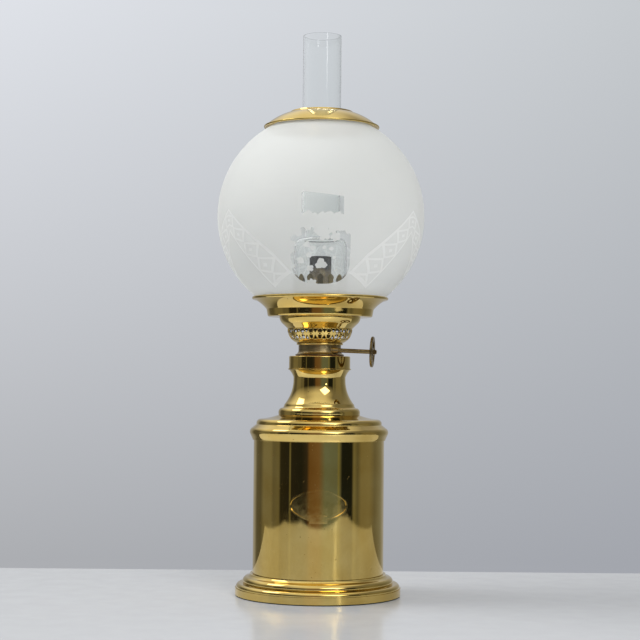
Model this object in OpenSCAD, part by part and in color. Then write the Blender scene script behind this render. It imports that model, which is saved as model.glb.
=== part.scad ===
// Brass table kerosene lamp: a cylinder tank on a moulded foot, a round-wick burner with a
// pierced basket, a glass chimney and a ball shade that stands in a wide brass ring.
// Sizes are in millimetres. Z points up, the front faces -Y, and the origin is the middle of
// the felt's underside. Every round piece is a profile turned about the lamp's upright axis.

/* [Tank] */
// Outer radius of the tank cylinder
tank_r = 65; // [60:0.5:70]
// Height of the cylinder that shows between foot and shoulder
tank_h = 131.7; // [100:0.1:160]
// Wall of the drawn tank tube
tube_t = 1; // [0.8:0.1:1.5]
// Wall of the spun brass mouldings
sheet_t = 1.2; // [0.9:0.1:1.4]
// Height of the tank floor's upturned rim
floor_rim_h = 8; // [5:0.5:14]
// Rise of the dished tank floor at its middle
floor_dish = 2; // [0.5:0.1:4]
// Width of the flat round the dished tank floor
floor_flat_w = 18; // [8:0.5:30]
// Height of the tank floor above the ballast
floor_up = 3; // [1:0.1:8]
// How far the tank tube reaches up into the shoulder
tube_lap = 3.8; // [1.5:0.1:6]

/* [Foot] */
// Thickness of the felt under the foot
felt_t = 1; // [0.8:0.1:2]
// How far the felt stays inside the foot's edge
felt_in = 0.6; // [0.3:0.1:2]
// Thickness of the bottom plate
plate_t = 1.2; // [0.8:0.1:1.5]
// How far the foot reaches out past the tank
foot_out = 17.2; // [16:0.1:24]
// Height of the foot's upright band
band_h = 6.7; // [5:0.1:9]
// Depth of the groove above the band
groove_d = 1; // [0.6:0.1:1.2]
// Height of the groove above the band
groove_h = 0.5; // [0.4:0.1:1]
// Height of the foot's lower bead
low_bead_h = 4; // [3.6:0.1:6]
// Width of the foot's lower bead
low_bead_w = 3.9; // [3:0.1:4.6]
// How far the lower bead swells
low_bead_swell = 1.4; // [1:0.1:2]
// How far the upper bead stands out past the tank
top_bead_out = 9.2; // [8:0.1:10]
// Height of the foot's upper bead
top_bead_h = 6.4; // [5:0.1:7.5]
// How far the upper bead draws in over its height
top_bead_in = 2.8; // [2:0.1:3.6]
// How far the upper bead swells
top_bead_swell = 1.5; // [1:0.1:2.2]
// Height of the cove and lip above the upper bead
cove_h = 3.2; // [2.8:0.1:5]
// Sag of the cove's curve
cove_sag = 0.4; // [0.2:0.1:0.8]
// How far the foot's top lip stands out past the tank
lip_out = 2.2; // [1.9:0.1:3]
// Height of the foot's top lip
lip_h = 0.8; // [0.5:0.1:1.2]
// Gap between the cast-iron ballast and the foot
ballast_gap = 2; // [1:0.1:4]
// Thickness of the cast-iron ballast
ballast_t = 9.2; // [6:0.1:10]
// Chamfer round the ballast's top edge
ballast_edge = 2; // [1:0.1:3]
// Radius of the hole through the ballast
ballast_hole_r = 14; // [8:0.5:30]

/* [Oval plate] */
// Height of the plate's middle above the table
badge_z = 93; // [60:0.5:120]
// Width of the oval plate
badge_w = 56; // [48:0.5:64]
// Height of the oval plate
badge_h = 30; // [26:0.5:36]
// Thickness of the oval plate
badge_t = 0.7; // [0.5:0.1:1.2]
// Width of the plate's raised rim
badge_rim_w = 1.2; // [0.8:0.1:2]
// Height of the raised rim above the plate
badge_rim_t = 0.8; // [0.4:0.1:1.2]
// Radius of the oval's round ends
badge_end_r = 9; // [7:0.1:11]
// Width of the tab at the plate's lower edge
tab_w = 17.6; // [12:0.1:22]
// Height of the tab at the plate's lower edge
tab_h = 7.8; // [6:0.1:10]
// How far the tab hangs below the oval
tab_drop = 2.2; // [1:0.1:4]

/* [Shoulder] */
// How far the shoulder's skirt rises before its cove
skirt_h = 0.7; // [0.5:0.1:1.5]
// Height of the flaring band under the wide ring
flare_h = 4.8; // [4:0.1:7]
// How far the flaring band stands out past the tank at its top
flare_out = 3.4; // [2.8:0.1:5]
// Height of the wide ring
wide_ring_h = 6.8; // [5.5:0.1:8]
// How far the wide ring draws in over its height
wide_ring_in = 2; // [1:0.1:3]
// How far the wide ring swells
wide_ring_swell = 1.5; // [1:0.1:2.2]
// Height of the sloping step between the two rings
step_h = 3.2; // [2.5:0.1:4.5]
// Width of the sloping step between the two rings
step_w = 4; // [3:0.1:5.5]
// Height of the narrow ring
thin_ring_h = 5.3; // [4.5:0.1:6.5]
// How far the narrow ring draws in over its height
thin_ring_in = 3.8; // [3:0.1:5]
// How far the narrow ring swells
thin_ring_swell = 1.5; // [1:0.1:2]
// Rise of the sloping top from the narrow ring to the neck
top_rise = 3.9; // [3:0.1:7]
// Sag of the sloping top's curve
top_sag = 0.6; // [0.3:0.1:1]

/* [Neck] */
// Radius of the bead at the neck's foot
neck_foot_r = 40.6; // [38:0.1:44]
// Height of the bead at the neck's foot
neck_bead_h = 6.8; // [5:0.1:9]
// How far the neck's bead draws in over its height
neck_bead_in = 2; // [1.5:0.1:3]
// How far the neck's bead swells
neck_bead_swell = 0.9; // [0.6:0.1:1.2]
// Height of the straight edge under the bead
neck_edge_h = 1.3; // [1.2:0.1:2]
// Width of the seat under the neck's foot
neck_seat_w = 4.4; // [3:0.1:6]
// Height of the step above the bead
neck_step_h = 3.8; // [3:0.1:5]
// Width of the step above the bead
neck_step_w = 1.5; // [1:0.1:2]
// Radius of the neck where its long curve starts
neck_low_r = 34.8; // [33:0.1:36]
// Radius of the neck at its waist
waist_r = 26; // [25:0.1:27.5]
// Height of the straight waist
waist_h = 2.6; // [2:0.1:4]
// Height of the neck's long curve
neck_curve_h = 24.7; // [20:0.1:32]
// Height of the flare above the waist
neck_flare_h = 9.8; // [8:0.1:12]
// Thickness of the thin flange at the neck's top
flange_t = 1.2; // [1.1:0.1:1.6]
// How far the flange stands out past the collar
flange_out = 0.8; // [0.5:0.1:1.5]

/* [Collar] */
// Outer radius of the collar
collar_r = 30.6; // [29.6:0.1:33]
// Height of the collar
collar_h = 12.5; // [10:0.1:16]
// Rounding of the collar's top edge
collar_round = 1.1; // [0.6:0.1:2]
// Wall of the collar's skirt, top and threaded sleeve
collar_t = 1.4; // [1.2:0.1:2]
// Thickness of the fibre seal on the collar
seal_t = 0.8; // [0.5:0.1:1.5]
// Radius of the screw plug on the burner
plug_r = 21.5; // [21:0.1:22]
// Length of the screw plug below the burner's flange
plug_h = 9.8; // [7:0.1:11]
// Wall of the screw plug
plug_t = 1; // [0.8:0.1:1.4]
// How far the collar's sleeve reaches below the plug
sleeve_more = 1; // [0.5:0.1:2]
// How far the seal stays inside the burner's flange
seal_in = 0.3; // [0.2:0.1:0.8]

/* [Burner] */
// Wall of the burner's sheet brass
burner_t = 0.8; // [0.6:0.1:1]
// Radius of the burner's bottom flange
burner_flange_r = 24.3; // [23.8:0.1:26]
// Thickness of the burner's flange at its edge
burner_flange_t = 0.8; // [0.6:0.1:1.2]
// Radius of the burner's drum
drum_r = 21.2; // [20.8:0.1:22]
// Height of the sweep from the flange to the drum
drum_sweep_h = 3.1; // [2.5:0.1:4]
// Height of the burner's drum above the sweep
drum_h = 6.3; // [5.6:0.1:9]
// Width of the lip at the drum's top
drum_lip_w = 3.8; // [3:0.1:4.5]
// Height of the bead under the basket
basket_foot_h = 2; // [1.6:0.1:3]
// Radius of the basket's curve
basket_curve_r = 15; // [14.8:0.1:18]
// Outer radius of the basket where it is widest
basket_r = 32.4; // [32:0.1:34]
// Height of the basket's curve
basket_h = 14.5; // [12:0.1:15]
// Wall of the pierced basket
basket_t = 0.7; // [0.5:0.1:0.9]
// Number of ovals round the basket
fret_n = 22; // [18:1:24]
// Width of the brass line between the openings
fret_line = 1.3; // [1:0.1:1.6]
// Height of an oval's middle below the basket's top
fret_eye_drop = 5.7; // [5.4:0.1:6.2]
// Radius of the small hole in the middle of an oval
fret_eye_r = 0.7; // [0.5:0.05:0.8]
// Height of the rim left above the arched windows
fret_rim_h = 0.9; // [0.7:0.1:1.2]
// Height of a window's sill above the oval's middle
fret_sill_up = 2.5; // [2.2:0.1:2.8]
// Depth of a wedge's shoulder below the oval's middle
fret_wedge_down = 1.9; // [1.6:0.1:2.2]
// Height of a wedge
fret_wedge_h = 2.4; // [1.8:0.1:2.6]
// Radius of the curved flanks between two ovals
fret_flank_r = 11; // [9:0.5:14]
// Depth of the lower openings below the oval's middle
fret_gap_down = 6.1; // [5.5:0.1:6.3]
// Width of the ledge that carries the gallery
basket_ledge_w = 2; // [1.5:0.1:3]

/* [Gallery and wick tubes] */
// Height of the chimney's seat above the basket
seat_h = 36.5; // [30:0.1:42]
// Wall of the chimney gallery
gallery_t = 0.7; // [0.5:0.1:0.9]
// Gap between the chimney and the prongs
prong_gap = 0.3; // [0.2:0.05:0.5]
// Number of prongs
prong_n = 16; // [10:1:18]
// Height of the prongs above the chimney's seat
prong_h = 17; // [12:0.1:20]
// Width of a prong
prong_w = 5; // [4:0.1:6]
// Number of air holes round the gallery
vent_n = 16; // [8:1:20]
// Radius of an air hole in the gallery
vent_r = 2.4; // [1.5:0.1:3]
// Outer radius of the outer wick tube
wick_tube_r = 10.9; // [10.5:0.1:11.3]
// Wall of both wick tubes
wick_tube_t = 0.7; // [0.5:0.1:0.8]
// Height of the wick tube's top above the chimney's seat
wick_tube_h = 35.5; // [30:0.1:40]
// Length of the wick tube below the burner's floor
wick_tube_tail = 10; // [4:0.1:14]
// Thickness of the wick
wick_t = 2.3; // [1.8:0.1:2.6]
// Length of the wick
wick_l = 270; // [200:1:280]
// Gap between the wick and the tubes
wick_gap = 0.3; // [0.25:0.05:0.4]
// Width of the air duct to the inner tube
duct_w = 8; // [6:0.1:9]
// Height of the air duct to the inner tube
duct_h = 18; // [10:0.1:24]
// Height of the duct's underside above the basket's foot
duct_up = 1.5; // [1:0.1:4]
// How far the inner tube reaches below its duct
inner_tube_tail = 4; // [2:0.1:8]
// Gap between the air duct and the wick's two edges
duct_gap = 0.7; // [0.4:0.1:1.2]
// Width of the chimney's seat
seat_w = 3; // [2:0.1:4]
// Height of the pierced deck below the chimney's seat
deck_drop = 10; // [6:0.1:16]
// Number of rings of holes in the deck
deck_rows = 3; // [1:1:3]
// Radius of a hole in the deck
deck_hole_r = 1.2; // [0.8:0.1:1.3]
// Distance between neighbouring holes in the deck
deck_pitch = 6; // [5:0.1:8]

/* [Wick raiser] */
// Turn of the spindle towards the front, in degrees
spindle_turn = 8; // [0:0.5:15]
// Droop of the spindle towards the thumbwheel, in degrees
spindle_droop = 2.2; // [0:0.1:3]
// Radius of the spindle
spindle_r = 2.1; // [1.8:0.1:2.3]
// Radial running clearance of the spindle
spindle_fit = 0.06; // [0.03:0.01:0.09]
// Height of the spindle's middle above the burner's flange
spindle_up = 5.6; // [5.2:0.1:5.8]
// Reach of the spindle from the lamp's axis to the thumbwheel's middle
spindle_reach = 54.3; // [48:0.1:64]
// Outer radius of the spindle's bush
bush_r = 2.8; // [2.7:0.1:3]
// How far the bush stands out of the drum
bush_out = 4.4; // [2:0.1:6]
// How far the bush reaches into the drum
bush_in = 3; // [2:0.1:4]
// Length of spindle held by the inner end bearing
bearing_l = 3.5; // [2.5:0.1:5]
// Gap between the spindle's inner end and the drum's wall
spindle_end_gap = 0.5; // [0.3:0.1:1]
// Tip radius of the toothed feed wheels
feed_r = 3.9; // [3.6:0.1:4.1]
// Depth of the teeth
tooth_h = 0.9; // [0.6:0.1:1.1]
// Number of teeth
tooth_n = 12; // [8:1:16]
// Thickness of a feed wheel
feed_t = 2; // [1.4:0.1:2.6]
// Distance between the middles of the feed wheels
feed_gap = 5.2; // [4:0.1:5.6]
// Gap between the feed wheels and the tube's window
window_gap = 0.7; // [0.4:0.1:1]
// Radius of the thumbwheel
thumb_r = 15.2; // [12:0.1:18]
// Thickness of the thumbwheel's rim
thumb_t = 2.4; // [1.8:0.1:3.2]
// Chamfer round the thumbwheel's rim
thumb_edge = 0.5; // [0.3:0.1:0.8]
// Width of the thumbwheel's rim
thumb_rim_w = 4.6; // [3:0.1:5]
// Thickness of the thumbwheel between rim and hub
thumb_web_t = 1.5; // [1:0.1:1.7]
// Radius of the thumbwheel's hub
thumb_hub_r = 3.8; // [3.4:0.1:4.6]
// Width of a spoke
spoke_w = 2.6; // [2:0.1:3.4]
// Number of spokes
spoke_n = 3; // [3:1:5]
// Width across the flats of the square nut
nut_w = 4.4; // [4:0.1:5.5]
// Thickness of the square nut
nut_t = 2.6; // [2:0.1:3.2]
// How far the spindle's tip stands out of the nut
tip_out = 0.6; // [0.3:0.1:1.2]

/* [Shade holder] */
// Wall of the holder's spun brass
holder_t = 1; // [0.8:0.1:1.2]
// Gap between the holder's foot and the gallery
holder_foot_gap = 1.6; // [1:0.1:2]
// Height of the cup's cone
cup_cone_h = 4; // [3:0.1:5]
// How far the cup's cone flares
cup_cone_out = 4.2; // [3:0.1:5]
// Height of the cup's round part
cup_round_h = 7.5; // [6:0.1:9]
// Outer radius of the cup at its top
cup_r = 40.7; // [39.5:0.1:43]
// How far the cup's round part swells
cup_swell = 0.9; // [0.6:0.1:1.3]
// Width of the globe ring's floor inside the cup
ring_floor_w = 3; // [2:0.1:5]
// Gap between the globe's neck and the globe ring's drum
fitter_gap = 1.8; // [1:0.1:3]
// Rounding between the drum and its floor
ring_round = 2; // [1.4:0.1:3]
// Height of the drum's upright wall
ring_wall_h = 5.6; // [4.5:0.1:7]
// Outward lean of the drum's wall
ring_lean = 1; // [0.5:0.1:1.5]
// Height of the flare above the drum
ring_flare_h = 11; // [10.2:0.1:13]
// Sag of the flare's curve
ring_flare_sag = 0.9; // [0.5:0.1:1.5]
// Radius of the rim's roll
rim_roll = 1.6; // [1.4:0.1:2]
// Gap between the rolled rim and the globe
rim_gap = 0.6; // [0.4:0.1:1.5]

/* [Globe and cap] */
// Outer radius of the globe
globe_r = 103.5; // [100:0.5:108]
// Wall of the globe's glass
glass_t = 2.6; // [2:0.1:3.2]
// Outer radius of the globe's bottom neck
fitter_r = 49.8; // [49:0.1:50.3]
// Height of the globe's bottom neck
fitter_h = 9; // [8.5:0.1:12]
// Radius of the globe's top edge
globe_top_r = 46.5; // [44:0.5:49]
// Outer radius of the cap
cap_r = 58; // [55:0.5:62]
// Radius of the chimney's hole in the cap
cap_hole_r = 31; // [29:0.5:33]
// Height of the cap's brim below the globe's top edge
cap_drop = 2.4; // [1:0.1:3]
// Rise of the cap from its brim to the hole
cap_rise = 15.4; // [13:0.1:19]
// How far the cap's dome swells
cap_swell = 1.8; // [1:0.1:2.6]
// Wall of the cap
cap_t = 1; // [0.8:0.1:1.2]
// Radius of the roll round the cap's brim
cap_roll = 1; // [0.8:0.1:1.4]
// Gap between the locating ring and the glass
locate_gap = 0.8; // [0.4:0.1:1.5]
// Depth of the locating ring inside the globe
locate_h = 5; // [3:0.1:8]
// Width of the locating ring's flange on the glass
locate_w = 5; // [3:0.1:6]

/* [Chimney] */
// Outer radius of the chimney's foot
chimney_foot_r = 26.2; // [25.5:0.1:26.8]
// Wall of the chimney
chimney_t = 1.5; // [1.2:0.1:2]
// Height of the chimney's straight foot
chimney_foot_h = 45.5; // [40:0.1:52]
// Height of the round shoulder
chimney_shoulder_h = 8.3; // [7:0.1:11]
// How far the round shoulder swells
chimney_shoulder_swell = 3.1; // [2.4:0.1:3.8]
// Radius at the top of the shoulder
chimney_neck_r = 17.4; // [16.8:0.1:18.2]
// Height of the waist
chimney_waist_h = 18; // [14:0.1:24]
// Sag of the waist's curve
chimney_waist_sag = 2.2; // [1.5:0.1:3]
// Outer radius of the chimney's tube
chimney_r = 19.2; // [18.5:0.1:20]
// Length of the whole chimney
chimney_l = 258; // [220:1:280]

/* [Hidden] */
$fn = 96;

// Gap between pieces that are soldered or pressed together
seam = 0.05;
// Radial running clearance of the burner's screw plug
plug_fit = 0.08;

// Heights of the base, from the table up
foot_z = felt_t;
foot_r = tank_r + foot_out;
band_z = foot_z + band_h;
low_bead_z = band_z + groove_h;
top_bead_z = low_bead_z + low_bead_h;
cove_z = top_bead_z + top_bead_h;
tank_z = cove_z + cove_h;
ballast_z = foot_z + plate_t;
ballast_r = tank_r + top_bead_out - sheet_t - ballast_gap;
tube_z = ballast_z + ballast_t;
tank_floor_z = tube_z + floor_up;
shoulder_z = tank_z + tank_h;
tube_top_z = shoulder_z + tube_lap;
neck_z = shoulder_z + skirt_h + flare_h + wide_ring_h + step_h + thin_ring_h + top_rise;
neck_curve_z = neck_z + neck_bead_h + neck_step_h;
neck_flare_z = neck_curve_z + neck_curve_h;
collar_z = neck_flare_z + neck_flare_h + flange_t;
collar_top_z = collar_z + collar_h;

// Heights of the burner
burner_z = collar_top_z + seal_t;
drum_z = burner_z + burner_flange_t + drum_sweep_h;
basket_z = drum_z + drum_h;
basket_top_z = basket_z + basket_foot_h + basket_h;
seat_z = basket_top_z + seat_h;
wick_top_z = seat_z + wick_tube_h;
burner_floor_z = burner_z - burner_t;
deck_z = seat_z - deck_drop;
spindle_z = burner_z + spindle_up;

// Radii of the wick and its tubes, from the outside in
wick_r = wick_tube_r - wick_tube_t - wick_gap;
wick_in_r = wick_r - wick_t;
inner_tube_r = wick_in_r - wick_gap;
gallery_in_r = chimney_foot_r + prong_gap;
gallery_r = gallery_in_r + gallery_t;
duct_z = basket_z + basket_foot_h + duct_up;
fret_eye_z = basket_top_z - fret_eye_drop;
basket_mid_z = basket_top_z - 0.5;

// The spindle runs in front of the wick, so that the wheels reach in through the tube's window
spindle_off = wick_r + wick_gap + feed_r;
drum_in_r = drum_r - burner_t;
bush_x = sqrt(drum_r * drum_r - spindle_off * spindle_off);
spindle_in_x = spindle_end_gap - sqrt(pow(drum_in_r, 2) - pow(spindle_off + spindle_r, 2));
spindle_tip_r = 0.72 * spindle_r;

// Heights and radii of the holder, the globe and the cap
holder_foot_r = gallery_r + holder_foot_gap;
ring_z = basket_top_z + cup_cone_h + cup_round_h;
ring_r = fitter_r + fitter_gap + holder_t;
globe_seat_z = ring_z + holder_t;
fitter_top_z = globe_seat_z + fitter_h;
fitter_in_r = fitter_r - glass_t;
globe_z = fitter_top_z + sqrt(globe_r * globe_r - fitter_r * fitter_r);
globe_top_z = globe_z + sqrt(globe_r * globe_r - globe_top_r * globe_top_r);
globe_in_r = globe_r - glass_t;
globe_hole_r = sqrt(globe_in_r * globe_in_r - (globe_top_z - globe_z) * (globe_top_z - globe_z));
locate_r = globe_hole_r - locate_gap;
rim_z = ring_z + ring_round + ring_wall_h + ring_flare_h;
rim_reach = globe_r + rim_gap + rim_roll;
rim_mid_r = sqrt(rim_reach * rim_reach - (globe_z - rim_z) * (globe_z - rim_z));
brim_z = globe_top_z - cap_drop;
cap_top_z = brim_z + cap_rise;

// Points of an arc from p to q, without p. The arc stands s off the chord's middle, to the
// right of the way from p to q, so on a line that climbs a lamp's outside it swells when s > 0.
function bow(p, q, s, n = 10) =
    let(d = q - p, l = norm(d), u = d / l, side = [u.y, -u.x])
    let(half = 2 * atan2(abs(s), l / 2), r = l / 2 / sin(half), turn = s > 0 ? 1 : -1)
    let(c = (p + q) / 2 + side * (s - turn * r))
    [for (i = [1:n]) let(a = half * (2 * i / n - 1)) c + r * (side * turn * cos(a) + u * sin(a))];

// Unit normal to the left of the way from p to q
function left_of(p, q) = let(d = (q - p) / norm(q - p)) [-d.y, d.x];

// The line's points moved t to the left, with mitred corners
function inset(line, t) =
    let(last = len(line) - 1)
    [for (i = [0:last])
        let(a = left_of(line[i == 0 ? 0 : i - 1], line[i == 0 ? 1 : i]))
        let(b = left_of(line[i == last ? last - 1 : i], line[i == last ? last : i + 1]))
        line[i] + t * (a + b) / (1 + a * b)];

// A closed sheet of thickness t along a line, with the line as its outer side
function sheet(line, t) =
    let(back = inset(line, t), last = len(line) - 1)
    concat(line, [for (i = [0:last]) back[last - i]]);

module turned(points) {
    rotate_extrude() polygon(points);
}

module tube(r, t, z, h) {
    difference() {
        translate([0, 0, z]) cylinder(r = r, h = h);
        translate([0, 0, z - 1]) cylinder(r = r - t, h = h + 2);
    }
}

// Child shapes drawn as seen from outside the lamp, pushed through its wall at an angle
module through_wall(angle, near, far) {
    rotate([0, 0, angle]) rotate([90, 0, 0]) translate([0, 0, near])
        linear_extrude(far - near) children();
}

// Children drawn in the spindle's frame: +X runs out along the spindle from its middle
module spindle_frame() {
    rotate([0, 0, -spindle_turn]) translate([0, -spindle_off, spindle_z])
        rotate([0, spindle_droop, 0]) children();
}

module along_x(x, l, r) {
    translate([x, 0, 0]) rotate([0, 90, 0]) cylinder(r = r, h = l);
}

module felt_pad() {
    color("darkgreen") cylinder(r = foot_r - felt_in, h = felt_t);
}

module bottom_plate() {
    color("dimgray") translate([0, 0, foot_z])
        cylinder(r = foot_r - sheet_t - seam, h = plate_t);
}

module ballast() {
    color("darkslategray") turned([[ballast_hole_r, ballast_z], [ballast_r, ballast_z],
        [ballast_r, tube_z - ballast_edge], [ballast_r - ballast_edge, tube_z],
        [ballast_hole_r, tube_z]]);
}

// The foot's outer line: band, groove, lower bead, upper bead, cove and lip
function foot_line() =
    let(low = [foot_r - groove_d, low_bead_z])
    let(low_end = [low.x - low_bead_w, top_bead_z])
    let(top = [min(tank_r + top_bead_out, low_end.x - 1), top_bead_z + 0.3])
    let(top_end = [top.x - top_bead_in, cove_z])
    let(cove = [top_end.x - 0.9, cove_z + 0.2], cove_end = [tank_r + lip_out, tank_z - lip_h])
    concat([[foot_r, foot_z], [foot_r, band_z], [foot_r - groove_d, band_z], low],
        bow(low, low_end, low_bead_swell), [top], bow(top, top_end, top_bead_swell), [cove],
        bow(cove, cove_end, -cove_sag, 6),
        [[cove_end.x, tank_z], [tank_r + seam, tank_z]]);

module foot_moulding() {
    color("goldenrod") turned(sheet(foot_line(), sheet_t));
}

module tank_floor() {
    r = tank_r - tube_t - seam;
    flat_r = r - floor_flat_w;
    color("goldenrod") turned([[0, tank_floor_z + floor_dish], [flat_r, tank_floor_z],
        [r, tank_floor_z], [r, tank_floor_z + floor_rim_h],
        [r - tube_t, tank_floor_z + floor_rim_h], [r - tube_t, tank_floor_z + tube_t],
        [flat_r, tank_floor_z + tube_t], [0, tank_floor_z + floor_dish + tube_t]]);
}

module tank_cylinder() {
    color("gold") tube(tank_r, tube_t, tube_z, tube_top_z - tube_z);
}

// An oval of four arcs: two wide ones over and under, and two round ends of radius e
module oval(w, h, e) {
    a = w / 2;
    b = h / 2;
    wide = ((a - e) * (a - e) + b * b - e * e) / (2 * (b - e));
    joint_x = (a - e) * wide / (wide - e);
    intersection() {
        translate([0, b - wide]) circle(wide);
        translate([0, wide - b]) circle(wide);
        square([2 * joint_x, h], center = true);
    }
    for (side = [-1, 1]) translate([side * (a - e), 0]) circle(e);
}

module plate_tab() {
    translate([0, -badge_h / 2 - tab_drop + tab_h / 2]) square([tab_w, tab_h], center = true);
}

// Bends the child outline round the tank, as a skin between two radii
module on_tank(low, high) {
    intersection() {
        translate([0, 0, badge_z]) through_wall(0, tank_r / 2, tank_r + 10) children();
        tube(tank_r + high, high - low, badge_z - badge_h, 2 * badge_h);
    }
}

module oval_plate() {
    rim_top = badge_t + badge_rim_t;
    color("goldenrod") union() {
        on_tank(seam, badge_t) union() {
            oval(badge_w, badge_h, badge_end_r);
            plate_tab();
        }
        on_tank(badge_t / 2, rim_top) difference() {
            oval(badge_w, badge_h, badge_end_r);
            oval(badge_w - 2 * badge_rim_w, badge_h - 2 * badge_rim_w, badge_end_r - badge_rim_w);
            plate_tab();
        }
        on_tank(badge_t / 2, rim_top) difference() {
            plate_tab();
            square([2 * tab_w, badge_h + 2 * tab_drop - 2 * badge_rim_w], center = true);
        }
        on_tank(badge_t / 2, rim_top) intersection() {
            plate_tab();
            translate([0, -badge_h / 2 - tab_drop + tab_h - badge_rim_w / 2])
                square([tab_w, badge_rim_w], center = true);
        }
    }
}

// The shoulder's outer line: skirt, flaring band, wide ring, step, narrow ring, sloping top
function shoulder_line() =
    let(skirt_r = tank_r + seam + sheet_t, flare_z = shoulder_z + skirt_h + flare_h)
    let(wide = [tank_r + flare_out, flare_z])
    let(wide_end = [wide.x - wide_ring_in, flare_z + wide_ring_h])
    let(thin = [wide_end.x - step_w, wide_end.y + step_h])
    let(thin_end = [thin.x - thin_ring_in, thin.y + thin_ring_h])
    let(top_end = [neck_foot_r + 1.2, neck_z - 0.4])
    concat([[skirt_r, shoulder_z], [skirt_r, shoulder_z + skirt_h], wide],
        bow(wide, wide_end, wide_ring_swell), [thin], bow(thin, thin_end, thin_ring_swell),
        bow(thin_end, top_end, -top_sag, 6),
        [[neck_foot_r, neck_z], [neck_foot_r - neck_seat_w, neck_z]]);

module shoulder() {
    color("goldenrod") turned(sheet(shoulder_line(), sheet_t));
}

// The neck's outer line: seat, bead, step, long curve, waist, flare and flange
function neck_line() =
    let(edge = [neck_foot_r, neck_z + neck_edge_h])
    let(bead_end = [neck_foot_r - neck_bead_in, neck_z + neck_bead_h])
    let(step = [neck_low_r + neck_step_w, bead_end.y + 0.6], low = [neck_low_r, neck_curve_z])
    let(waist = [waist_r, neck_flare_z], drop = neck_low_r - waist_r)
    let(chord = norm([drop, neck_curve_h]), curve_r = chord * chord / (2 * drop))
    let(dip = curve_r - sqrt(curve_r * curve_r - chord * chord / 4))
    let(up = [waist_r, neck_flare_z + waist_h], edge_r = collar_r + flange_out)
    let(flare_end = [edge_r - 0.9, collar_z - flange_t])
    concat([[neck_foot_r - neck_seat_w, neck_z], [neck_foot_r, neck_z], edge],
        bow(edge, bead_end, neck_bead_swell), [step], bow(step, low, -0.3, 4),
        bow(low, waist, -dip, 16), [up], bow(up, flare_end, -0.5, 6),
        [[edge_r, flare_end.y], [edge_r, collar_z]]);

module neck_column() {
    line = neck_line();
    last = len(line) - 1;
    back = inset(line, sheet_t);
    // The flange reaches in as far as the collar's skirt, which stands on it
    color("goldenrod") turned(concat(line, [[collar_r - collar_t - 0.4, collar_z]],
        [for (i = [2:last]) back[last - i]]));
}

module collar() {
    bore_r = plug_r + plug_fit;
    sleeve_r = bore_r + collar_t;
    sleeve_z = collar_top_z - plug_h - sleeve_more;
    skirt_r = collar_r - collar_t;
    under_z = collar_top_z - collar_t;
    edge = [collar_r, collar_top_z - collar_round];
    top = [collar_r - collar_round, collar_top_z];
    color("gold") turned(concat([[bore_r, sleeve_z], [sleeve_r, sleeve_z], [sleeve_r, under_z],
        [skirt_r, under_z], [skirt_r, collar_z], [collar_r, collar_z], edge],
        bow(edge, top, 0.29 * collar_round, 6), [[bore_r, collar_top_z]]));
}

module collar_seal() {
    seal_r = burner_flange_r - seal_in;
    color("saddlebrown") tube(seal_r, seal_r - plug_r - plug_fit, collar_top_z, seal_t);
}

module burner_base() {
    bore_r = wick_tube_r + seam;
    plug_in_r = plug_r - plug_t;
    edge = [burner_flange_r, burner_z + burner_flange_t];
    drum = [drum_r, drum_z];
    lip_r = drum_r - drum_lip_w;
    color("peru") difference() {
        turned(concat([[plug_r, burner_z - plug_h], [plug_r, burner_z], [edge.x, burner_z], edge],
            bow(edge, drum, -0.6, 6), [[drum_r, basket_z], [lip_r, basket_z],
            [lip_r, basket_z - burner_t], [drum_in_r, basket_z - burner_t],
            [drum_in_r, burner_floor_z + burner_t], [bore_r, burner_floor_z + burner_t],
            [bore_r, burner_floor_z], [plug_in_r, burner_floor_z],
            [plug_in_r, burner_z - plug_h]]));
        spindle_frame() along_x(bush_x - 2 * bush_in, 2 * (bush_in + bush_out), bush_r + seam);
    }
}

module spindle_bush() {
    color("goldenrod") spindle_frame() difference() {
        along_x(bush_x - bush_in, bush_in + bush_out, bush_r);
        along_x(bush_x - bush_in - 1, bush_in + bush_out + 2, spindle_r + spindle_fit);
    }
}

module spindle_end_bearing() {
    out_x = -drum_r;
    hole_x = spindle_in_x - spindle_end_gap / 2;
    color("goldenrod") difference() {
        intersection() {
            spindle_frame() along_x(out_x, spindle_in_x + bearing_l - out_x, bush_r);
            translate([0, 0, burner_z]) cylinder(r = drum_in_r - seam, h = basket_z - burner_z);
        }
        spindle_frame() along_x(hole_x, 2 * bearing_l, spindle_r + spindle_fit);
    }
}

module outer_wick_tube() {
    z = burner_floor_z - wick_tube_tail;
    window_w = feed_gap + feed_t + 2 * window_gap;
    window_h = 2 * (feed_r + window_gap);
    color("goldenrod") difference() {
        tube(wick_tube_r, wick_tube_t, z, wick_top_z - z);
        rotate([0, 0, -spindle_turn]) {
            translate([0, -wick_tube_r, spindle_z])
                cube([window_w, wick_tube_r, window_h], center = true);
            translate([-duct_w / 2 - seam, 0, duct_z - seam])
                cube([duct_w + 2 * seam, 2 * wick_tube_r, duct_h + 2 * seam]);
        }
    }
}

module inner_wick_tube() {
    t = wick_tube_t;
    z = duct_z - inner_tube_tail;
    color("goldenrod") rotate([0, 0, -spindle_turn]) difference() {
        union() {
            translate([0, 0, z]) cylinder(r = inner_tube_r, h = wick_top_z - z);
            intersection() {
                translate([-duct_w / 2, 0, duct_z]) cube([duct_w, 2 * wick_tube_r, duct_h]);
                translate([0, 0, z]) cylinder(r = wick_tube_r, h = 2 * duct_h);
            }
        }
        translate([0, 0, z + t]) cylinder(r = inner_tube_r - t, h = wick_top_z);
        translate([t - duct_w / 2, 0, duct_z + t])
            cube([duct_w - 2 * t, 2 * wick_tube_r, duct_h - 2 * t]);
    }
}

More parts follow.
